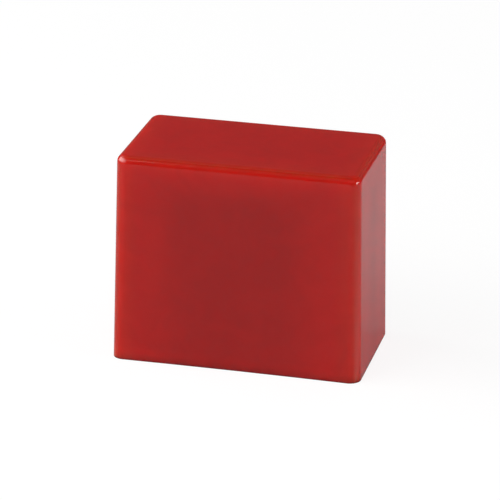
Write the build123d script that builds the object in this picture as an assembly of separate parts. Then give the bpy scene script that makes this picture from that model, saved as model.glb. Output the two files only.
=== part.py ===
from build123d import *
import math
import os

# Rectangular push-on cap for a pushbutton keyswitch: one moulded piece, open underneath.
#
# The cap stands on its rim at Z 0, with the pressed face, the crown, on top. X runs along its
# width and Y across its depth, and the origin is in the middle of the rim's outline.
# The walls lean inwards towards the crown, so that the moulding leaves its tool, and the broad ones
# have pulled in a little along the open rim, where nothing ties them. A split socket hangs from the
# crown and snaps onto the switch's flat stem. Two short webs tie its root to the end walls, down to
# where its slots end, so that the slotted part is free to spring. Nothing touches the inside of the
# broad walls, which would mark the faces that show.

# Outside, in millimetres and degrees.
cap_width = 12.0                # along X, at the rim
cap_depth = 6.8                 # along Y, at the rim
cap_height = 10.15
end_draft = 1.2                 # lean of the two end walls
face_draft = 0.5                # lean of the two broad walls
rim_bow = 0.07                  # how far each broad wall has pulled in at the middle of its rim
upright_edge_radius = 0.55
crown_edge_radius = 0.37

# Walls and inside.
wall = 0.8                      # at the rim
crown = 0.9
core_draft = 0.4                # lean of the inside faces beyond that of the outside ones
core_corner_radius = 0.3        # upright inside corners
root_radius = 0.25              # where the inside faces, the socket and the webs meet the crown

# The switch's stem, which the cap is pushed onto.
stem_width = 3.3                # along X
stem_thickness = 2.0            # along Y
stem_clearance = 0.05           # on each side
stem_grip = 5.2                 # length of stem inside the socket
stem_groove = 2.4               # from the stem's tip to the middle of the groove in its sides

# The socket.
socket_recess = 1.5             # rim to mouth
socket_wall = 0.6               # at the mouth
socket_draft = 0.5
socket_corner_radius = 0.3
lead_in = 0.3                   # bevel inside the mouth
tip_shoulder = 0.4              # ledge that the stem's tip stops on
slot_width = 0.6                # the two slots that let the socket spring open
slot_share = 0.75               # share of the grip that the slots run up
crush_rib_radius = 0.16         # ribs that take up the clearance on the stem's broad sides
crush_rib_bite = 0.04           # how far they reach into the stem's own space
crush_rib_spacing = 1.9
crush_rib_tip = 0.4             # tapered lower end
nib_radius = 0.3                # snap nibs for the groove in the stem's narrow sides
nib_height = 0.15
nib_length = 1.2

# The webs, and the marks of the pins that push the moulding out of its tool.
web_thickness = 0.6
ejector_mark_radius = 0.5
ejector_mark_depth = 0.05

# What follows from these.
ceiling = cap_height - crown
core_width = cap_width - 2 * wall
core_depth = cap_depth - 2 * wall
hole_width = stem_width + 2 * stem_clearance
hole_depth = stem_thickness + 2 * stem_clearance
socket_width = hole_width + 2 * socket_wall
socket_depth = hole_depth + 2 * socket_wall
stem_stop = socket_recess + stem_grip
slot_end = socket_recess + slot_share * stem_grip


def taper_loss(height, draft):
    """How much two leaning walls close in on each other over a height."""
    return 2 * height * math.tan(math.radians(draft))


core_top_width = core_width - taper_loss(ceiling, end_draft + core_draft)
core_top_depth = core_depth - taper_loss(ceiling, face_draft + core_draft)
socket_spread = taper_loss(ceiling - socket_recess, socket_draft)
socket_top_width = socket_width + socket_spread
socket_top_depth = socket_depth + socket_spread
side_gap = (core_top_depth - socket_top_depth) / 2
root_fillet = min(root_radius, 0.4 * side_gap)


def outline(width, depth, bow, height):
    """A rectangle at a height, with its two broad sides bowed in at their middle."""
    x, y = width / 2, depth / 2
    corners = [Vector(-x, -y), Vector(x, -y), Vector(x, y), Vector(-x, y)]
    sides = []
    for start, end in zip(corners, corners[1:] + corners[:1]):
        if bow and start.Y == end.Y:
            middle = (start + end) * 0.5
            sides.append(ThreePointArc(start, middle - middle.normalized() * bow, end))
        else:
            sides.append(Line(start, end))
    return Pos(0, 0, height) * make_face(sides)


def leaning_block(width, depth, height, end_lean, face_lean, upright_radius, top_radius):
    """A block that narrows from a bowed foot to a straight-sided top with rounded edges."""
    foot = outline(width, depth, rim_bow, 0)
    top = outline(width - taper_loss(height, end_lean), depth - taper_loss(height, face_lean), 0, height)
    block = loft([foot, top], ruled=True)
    uprights = [edge for edge in block.edges() if abs(edge.tangent_at(0.5).Z) > 0.9]
    block = fillet(uprights, upright_radius)
    return fillet(block.faces().sort_by(Axis.Z)[-1].edges(), top_radius)


def column(width, depth, bottom, top, draft=0, corner_radius=0):
    """An upright column of rectangular section, which widens upwards by its draft."""
    section = RectangleRounded(width, depth, corner_radius) if corner_radius else Rectangle(width, depth)
    return Pos(0, 0, bottom) * extrude(section, top - bottom, taper=-draft)


def socket_and_webs():
    """The socket's outside and its webs under a slab, with rounded roots where they meet it."""
    slab = column(cap_width, cap_depth, ceiling, cap_height)
    tube = column(socket_width, socket_depth, socket_recess, ceiling, socket_draft, socket_corner_radius)
    webs = column(cap_width, web_thickness, slot_end, ceiling)
    hung = slab + tube + webs
    at_ceiling = hung.edges().filter_by_position(Axis.Z, ceiling, ceiling)
    roots = [edge for edge in at_ceiling if abs(edge.center().Y) < socket_top_depth / 2 + root_radius / 2
             and abs(edge.center().X) < cap_width / 2 - root_radius / 2]
    return fillet(roots, root_fillet)


def inside_space():
    """The hollow of the cap, round what hangs in it."""
    core = leaning_block(core_width, core_depth, ceiling, end_draft + core_draft, face_draft + core_draft,
                         core_corner_radius, root_fillet)
    return core - socket_and_webs()


def stem_hole():
    """The socket's inside: a bevelled mouth, room for the stem, and a narrower space past its tip."""
    grip = column(hole_width, hole_depth, socket_recess, stem_stop)
    mouth = Pos(0, 0, socket_recess) * Rectangle(hole_width + 2 * lead_in, hole_depth + 2 * lead_in)
    throat = Pos(0, 0, socket_recess + lead_in) * Rectangle(hole_width, hole_depth)
    relief = column(hole_width - 2 * tip_shoulder, hole_depth - 2 * tip_shoulder, stem_stop, ceiling)
    return grip + loft([mouth, throat]) + relief


def spring_slots():
    """One cut through both broad sides of the socket, rounded at its blind end."""
    straight_end = slot_end - slot_width / 2
    cut = column(slot_width, socket_top_depth, socket_recess, straight_end)
    end = Pos(0, 0, straight_end) * Rot(90, 0, 0) * Cylinder(slot_width / 2, socket_top_depth)
    return cut + end


def crush_rib(side_x, side_y):
    """A half-round rib on a broad side of the stem hole, tapered to nothing at its lower end."""
    stand = stem_clearance + crush_rib_bite
    sunk = crush_rib_radius - stand
    foot = socket_recess + lead_in
    tip = Cone(sunk, crush_rib_radius, crush_rib_tip, align=(Align.CENTER, Align.CENTER, Align.MIN))
    shaft_height = stem_stop - foot - crush_rib_tip
    shaft = Cylinder(crush_rib_radius, shaft_height, align=(Align.CENTER, Align.CENTER, Align.MIN))
    rib = tip + Pos(0, 0, crush_rib_tip) * shaft
    return Pos(side_x * crush_rib_spacing / 2, side_y * (hole_depth / 2 + sunk), foot) * rib


def snap_nib(side):
    """A rounded ridge on a narrow side of the stem hole."""
    x = side * (hole_width / 2 + nib_radius - nib_height)
    return Pos(x, 0, stem_stop - stem_groove) * Rot(90, 0, 0) * Cylinder(nib_radius, nib_length)


def ejector_mark(side_x, side_y):
    """A shallow round mark in the crown's underside, midway between its neighbours."""
    x = side_x * (core_top_width + socket_top_width) / 4
    y = side_y * (core_top_depth + web_thickness) / 4
    disc = Cylinder(ejector_mark_radius, ejector_mark_depth, align=(Align.CENTER, Align.CENTER, Align.MIN))
    return Pos(x, y, ceiling) * disc


def button_cap():
    """The whole moulding."""
    cap = leaning_block(cap_width, cap_depth, cap_height, end_draft, face_draft,
                        upright_edge_radius, crown_edge_radius)
    cap = cap - inside_space() - stem_hole()
    quadrants = [(side_x, side_y) for side_x in (-1, 1) for side_y in (-1, 1)]
    cap = cap + [crush_rib(*quadrant) for quadrant in quadrants]
    cap = cap + [snap_nib(side) for side in (-1, 1)]
    return cap - spring_slots() - [ejector_mark(*quadrant) for quadrant in quadrants]


os.makedirs("parts", exist_ok=True)
export_step(button_cap(), "parts/button_cap.step")
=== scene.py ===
import bpy
import math
from mathutils import Matrix, Vector


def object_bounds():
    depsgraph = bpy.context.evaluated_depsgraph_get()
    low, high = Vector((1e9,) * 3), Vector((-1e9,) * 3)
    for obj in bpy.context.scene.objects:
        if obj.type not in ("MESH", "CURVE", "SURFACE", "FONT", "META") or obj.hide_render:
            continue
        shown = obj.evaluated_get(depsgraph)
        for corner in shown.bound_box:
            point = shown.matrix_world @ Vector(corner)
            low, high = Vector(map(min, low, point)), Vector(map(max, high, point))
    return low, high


# A red keyswitch cap on a white sheet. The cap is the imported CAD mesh, with a material and no more.
# Lengths are in metres and angles in degrees. Azimuth 0 is in front of the cap, and 90 at its right.

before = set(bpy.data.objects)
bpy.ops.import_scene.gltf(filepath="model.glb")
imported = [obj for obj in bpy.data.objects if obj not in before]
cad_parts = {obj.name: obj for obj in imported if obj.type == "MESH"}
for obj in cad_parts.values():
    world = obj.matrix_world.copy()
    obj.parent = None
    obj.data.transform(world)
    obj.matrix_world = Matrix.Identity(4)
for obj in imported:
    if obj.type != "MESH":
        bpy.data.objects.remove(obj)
cad_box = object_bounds()
low, high = cad_box
mm = 0.001

# Camera.
view_azimuth = 13.565
view_elevation = 21.403
view_roll = 0.617
view_distance = 0.14447
view_right = 0.00009        # how far the cap's middle lies to the right of the lens axis
view_up = 0.000215          # and above it
lens = 219.4                # millimetres
nearest_seen = 0.001
farthest_seen = 10

# The moulding, for the painted glow and painted shade that its colour shows near its edges.
end_draft = 1.2
face_draft = 0.5
glow_reach = 4 * mm         # how far from an edge the colour still changes
crown_falls_faster = 1.9    # the colour changes this much faster below the crown than beside an end
crown_reach = 2 * mm        # how far from its edges the crown's colour still changes

# The plastic. Stops are (position from 0 to 1, colour or factor).
refraction = 1.5
scattering = (2.5, 0.3, 0.15)   # millimetres that red, green and blue light travel in the plastic
# The plastic's own red, with a painted orange glow at each edge and painted shade towards the middle of
# each face.
dye_and_edge_glow_stops = (                   # from an edge to glow_reach
    (0.0, (0.38, 0.021, 0.004)),
    (0.12, (0.475, 0.008, 0.002)),
    (0.35, (0.505, 0.003, 0.001)),
    (1.0, (0.415, 0.002, 0.001)),
)
# Painted light by height: a brighter painted glow along the rim and a redder painted crown.
rim_and_crown_light_stops = (                # from the rim to the crown, as factors on the dye
    (0.0, 1.3),
    (0.03, 1.15),
    (0.08, 1.02),
    (0.15, 1.0),
    (0.9, 1.0),
    (0.98, (1.07, 0.9, 0.9)),
)
cloud_stops = ((0.3, 0.96), (0.7, 1.03))    # over the noise, as factors on the dye
cloud_size = 1.6 * mm
cloud_detail = 3.0
cloud_swirl = 1.2
smoothest = 0.10            # roughness of the sides
grain_rougher = 0.05        # what the grain adds to it at most
grain_size = 0.12 * mm
crown_rougher = 0.35        # what the crown adds to it
crown_depth = 0.13 * mm     # how far below the crown that starts
peel_height = 0.0007 * mm   # unevenness of the gloss
peel_size = 0.45 * mm

# The sheet under the cap and the room. The camera sees both as white.
floor_half = 1.0
floor_grey = 0.55           # of the sheet, for the light that it sends back
far_floor_grey = 0.1        # and of the floor past it
floor_glow = 0.82           # share of the white that the camera sees whatever light the sheet gets
white_level = 1.055         # above 1, because the lamps light the rest of the sheet to less than white
room_grey = 0.118           # of the room, for the light that it sends
reflected_floor = 0.12      # share of the white that reflections show, of the sheet
reflected_room = 0.04       # and of the room
sheet_middle = -40 * mm     # along Y
sheet_fades = 70 * mm       # from its middle to where the sheet starts to turn into dark floor
sheet_ends = 90 * mm        # and to where it has
backdrop_starts = 250 * mm  # and to where the camera sees no shadow or light on the floor any more

# A painted pool of light on the sheet, fanned out from the foot of the front right upright edge, which
# only reflections show, as added white.
fan_azimuth = 88
fan_turn = 45               # to each side
fan_fades = 4 * mm          # from the foot to where it starts to fade
fan_ends = 38 * mm          # and to where it has
fan_share = 0.86            # share of the white that it adds


def direction(azimuth, elevation):
    """From the cap towards a place."""
    a, e = math.radians(azimuth), math.radians(elevation)
    return Vector((math.sin(a) * math.cos(e), -math.cos(a) * math.cos(e), math.sin(e)))


def turned(towards, roll):
    """Right, up and back of something that looks along minus towards, rolled."""
    right = Vector((0, 0, 1)).cross(towards).normalized()
    up = towards.cross(right)
    c, s = math.cos(math.radians(roll)), math.sin(math.radians(roll))
    return c * right + s * up, c * up - s * right, towards


def add(name, data, place=None, axes=None):
    thing = bpy.data.objects.new(name, data)
    bpy.context.scene.collection.objects.link(thing)
    if place:
        thing.location = place
        thing.rotation_mode = "QUATERNION"
        thing.rotation_quaternion = Matrix(axes).transposed().to_quaternion()
    return thing


def make_camera():
    data = bpy.data.cameras.new("camera")
    data.lens = lens
    data.clip_start = nearest_seen
    data.clip_end = farthest_seen
    axes = turned(direction(view_azimuth, view_elevation), view_roll)
    right, up, back = axes
    place = (low + high) / 2 + back * view_distance - right * view_right - up * view_up
    bpy.context.scene.camera = add("camera", data, place, axes)


def softbox(name, azimuth, elevation, distance, half_width, half_height, power,
            roll=0, mirrored=True, lights=True):
    """A rectangular lamp that faces the cap. Its half sizes are angles as the cap sees them, and its
    power is in watts. One that isn't mirrored doesn't show in the gloss, and one that doesn't light
    shows nowhere else."""
    data = bpy.data.lights.new(name, "AREA")
    data.shape = "RECTANGLE"
    data.size = 2 * distance * math.tan(math.radians(half_width))
    data.size_y = 2 * distance * math.tan(math.radians(half_height))
    data.energy = power
    towards = direction(azimuth, elevation)
    middle = Vector((0, 0, (low.z + high.z) / 2))
    lamp = add(name, data, middle + towards * distance, turned(towards, roll))
    lamp.visible_glossy = mirrored
    lamp.visible_diffuse = lights


class Graph:
    """Short ways to add nodes to one material or world."""

    def __init__(self, owner):
        owner.use_nodes = True
        self.nodes, self.links = owner.node_tree.nodes, owner.node_tree.links

    def node(self, kind, **settings):
        made = self.nodes.new(kind)
        for name, value in settings.items():
            setattr(made, name, value)
        return made

    def put(self, socket, value):
        if isinstance(value, bpy.types.NodeSocket):
            self.links.new(value, socket)
        else:
            socket.default_value = value

    def math(self, operation, *values, **settings):
        made = self.node("ShaderNodeMath", operation=operation, **settings)
        for socket, value in zip(made.inputs, values):
            self.put(socket, value)
        return made.outputs[0]

    def vector(self, operation, *values):
        """Node output: a vector, or a number where the operation gives one."""
        made = self.node("ShaderNodeVectorMath", operation=operation)
        for socket, value in zip(made.inputs, values):
            self.put(socket, value)
        return next(output for output in made.outputs if output.enabled)

    def along(self, value, start, end):
        """Node output: 0 at start, 1 at end, and no more or less past them."""
        made = self.node("ShaderNodeMapRange")
        for name, given in (("Value", value), ("From Min", start), ("From Max", end)):
            self.put(made.inputs[name], given)
        return made.outputs[0]

    def ramp(self, value, *stops):
        """Node output: eased from stop to stop, each a position with a colour or a grey."""
        made = self.node("ShaderNodeValToRGB")
        made.color_ramp.interpolation = "EASE"
        elements = made.color_ramp.elements
        for position, _ in stops[1:-1]:
            elements.new(position)
        for element, (position, colour) in zip(elements, stops):
            element.position = position
            element.color = (*colour, 1) if isinstance(colour, tuple) else (colour, colour, colour, 1)
        self.put(made.inputs[0], value)
        return made.outputs[0]

    def noise(self, place, size, detail=2.0, swirl=0.0):
        made = self.node("ShaderNodeTexNoise")
        self.put(made.inputs["Vector"], place)
        for name, given in (("Scale", 1 / size), ("Detail", detail), ("Distortion", swirl)):
            self.put(made.inputs[name], given)
        return made.outputs[0]

    def multiply(self, first, second):
        made = self.node("ShaderNodeMix", data_type="RGBA", blend_type="MULTIPLY")
        made.inputs["Factor"].default_value = 1
        self.put(made.inputs["A"], first)
        self.put(made.inputs["B"], second)
        return made.outputs["Result"]

    def mix(self, share, first, second):
        made = self.node("ShaderNodeMixShader")
        for socket, value in zip(made.inputs, (share, first, second)):
            self.put(socket, value)
        return made.outputs[0]

    def camera_and(self, share):
        """Node output: 1 for what the camera sees, and share for what gloss or clear material shows."""
        path = self.node("ShaderNodeLightPath")
        total = path.outputs["Is Camera Ray"]
        for kind in ("Is Glossy Ray", "Is Transmission Ray"):
            total = self.math("MULTIPLY_ADD", path.outputs[kind], share, total, use_clamp=True)
        return total


def to_edges(graph, x, y, z):
    """Node output: metres from a point on the outside to the nearest edge between two faces, made
    longer below the crown and cut short on it, as the colour needs it."""
    sides = []
    for across, half, draft in ((x, high.x, end_draft), (y, high.y, face_draft)):
        lean = graph.math("MULTIPLY", z, math.tan(math.radians(draft)))
        middle_to_side = graph.math("SUBTRACT", half, lean)
        sides.append(graph.math("SUBTRACT", middle_to_side, graph.math("ABSOLUTE", across)))
    below_crown = graph.math("MULTIPLY", graph.math("SUBTRACT", high.z, z), crown_falls_faster)
    end, face = sides
    on_crown = graph.math("MINIMUM", graph.math("MINIMUM", end, face), crown_reach)
    on_side = graph.math("MINIMUM", graph.math("MAXIMUM", end, face), below_crown)
    return graph.math("MAXIMUM", on_crown, on_side)


def red_plastic():
    """Dyed translucent moulding, whose colour carries painted light: a more orange painted glow along its
    edges and rim, where light gathers, painted shade between the edges, and a redder painted crown.
    """
    material = bpy.data.materials.new("red_plastic")
    graph = Graph(material)
    shader = graph.nodes["Principled BSDF"]
    shader.inputs["IOR"].default_value = refraction
    shader.inputs["Subsurface Weight"].default_value = 1.0
    shader.inputs["Subsurface Scale"].default_value = 1 * mm
    shader.inputs["Subsurface Radius"].default_value = scattering

    place = graph.node("ShaderNodeTexCoord").outputs["Object"]
    axes = graph.node("ShaderNodeSeparateXYZ")
    graph.put(axes.inputs[0], place)
    x, y, z = axes.outputs
    # Painted glow near the edges and painted shade between them, over the plastic's own red.
    dye_and_edge_glow = graph.ramp(graph.along(to_edges(graph, x, y, z), 0.0, glow_reach), *dye_and_edge_glow_stops)
    # Painted rim glow and painted crown tint.
    rim_and_crown_light = graph.ramp(graph.along(z, 0.0, high.z), *rim_and_crown_light_stops)
    clouds = graph.ramp(graph.noise(place, cloud_size, cloud_detail, cloud_swirl), *cloud_stops)
    graph.put(shader.inputs["Base Color"], graph.multiply(graph.multiply(dye_and_edge_glow, rim_and_crown_light), clouds))

    grain = graph.noise(place, grain_size)
    satin = graph.math("MULTIPLY", graph.along(z, high.z - crown_depth, high.z), crown_rougher)
    rough = graph.math("ADD", graph.math("MULTIPLY_ADD", grain, grain_rougher, smoothest), satin)
    graph.put(shader.inputs["Roughness"], rough)

    peel = graph.node("ShaderNodeBump")
    peel.inputs["Strength"].default_value = 1
    peel.inputs["Distance"].default_value = peel_height
    graph.put(peel.inputs["Height"], graph.noise(place, peel_size, detail=1.0))
    graph.put(shader.inputs["Normal"], peel.outputs[0])
    return material


def floor():
    """A pale sheet that fades into a dark floor, both shown white to the camera, with the cap's shadow,
    and a painted pool of light on the sheet that only reflections show.
    """
    mesh = bpy.data.meshes.new("floor")
    corners = [(floor_half * x, floor_half * y, 0) for x, y in ((-1, -1), (1, -1), (1, 1), (-1, 1))]
    mesh.from_pydata(corners, [], [(0, 1, 2, 3)])
    material = bpy.data.materials.new("floor")
    graph = Graph(material)
    place = graph.node("ShaderNodeTexCoord").outputs["Object"]
    away = graph.vector("DISTANCE", place, (0, sheet_middle, 0))
    on_sheet = graph.along(away, sheet_ends, sheet_fades)
    from_foot = graph.vector("SUBTRACT", place, (high.x, low.y, 0))
    heading = graph.vector("DOT_PRODUCT", graph.vector("NORMALIZE", from_foot), direction(fan_azimuth, 0))
    fan = graph.math("MULTIPLY", graph.along(heading, math.cos(math.radians(fan_turn)), 1.0),
                     graph.along(graph.vector("LENGTH", from_foot), fan_ends, fan_fades))
    # Painted light: the fan adds white to what reflections show of the sheet.
    mirrored = graph.math("MULTIPLY", on_sheet,
                          graph.math("MULTIPLY_ADD", fan, fan_share, reflected_floor))
    grey = graph.nodes["Principled BSDF"]
    graph.put(grey.inputs["Base Color"], graph.ramp(on_sheet, (0.0, far_floor_grey), (1.0, floor_grey)))
    grey.inputs["Roughness"].default_value = 1
    grey.inputs["Specular IOR Level"].default_value = 0
    white = graph.node("ShaderNodeBsdfDiffuse")
    white.inputs["Color"].default_value = (1, 1, 1, 1)
    glow = graph.node("ShaderNodeEmission")
    glow.inputs["Strength"].default_value = white_level
    glows = graph.math("MAXIMUM", floor_glow, graph.along(away, sheet_ends, backdrop_starts))
    seen = graph.mix(glows, white.outputs[0], glow.outputs[0])
    surface = graph.mix(graph.camera_and(mirrored), grey.outputs[0], seen)
    graph.put(graph.nodes["Material Output"].inputs["Surface"], surface)
    mesh.materials.append(material)
    add("floor", mesh)


def room():
    """A dim grey room, shown white to the camera."""
    world = bpy.data.worlds.new("room")
    bpy.context.scene.world = world
    graph = Graph(world)
    dim = graph.nodes["Background"]
    dim.inputs["Color"].default_value = (room_grey, room_grey, room_grey, 1)
    white = graph.node("ShaderNodeBackground")
    white.inputs["Color"].default_value = (1, 1, 1, 1)
    surface = graph.mix(graph.camera_and(reflected_room), dim.outputs[0], white.outputs[0])
    graph.put(graph.nodes["World Output"].inputs["Surface"], surface)


make_camera()
room()
floor()
# The left softbox has a brighter middle in the gloss, and its highlight sits on the front left corner.
softbox("left_softbox", azimuth=-70, elevation=28, distance=0.2, half_width=38, half_height=24,
        power=0.51, roll=12)
softbox("left_gloss", azimuth=-81, elevation=28, distance=0.21, half_width=27, half_height=17,
        power=0.2977, roll=12, lights=False)
softbox("right_softbox", azimuth=88, elevation=8, distance=0.2, half_width=15, half_height=7.5,
        power=0.21)
softbox("back_fill", azimuth=160, elevation=10, distance=0.25, half_width=25, half_height=12,
        power=0.16, mirrored=False)
softbox("front_fill", azimuth=0, elevation=40, distance=0.25, half_width=25, half_height=25,
        power=0.19, mirrored=False)
softbox("front_gloss", azimuth=25, elevation=38, distance=0.26, half_width=30, half_height=18,
        power=0.04, lights=False)
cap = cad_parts["button_cap"]
material = red_plastic()
for slot in cap.material_slots:
    slot.material = material

bpy.context.scene.view_settings.view_transform = "Standard"
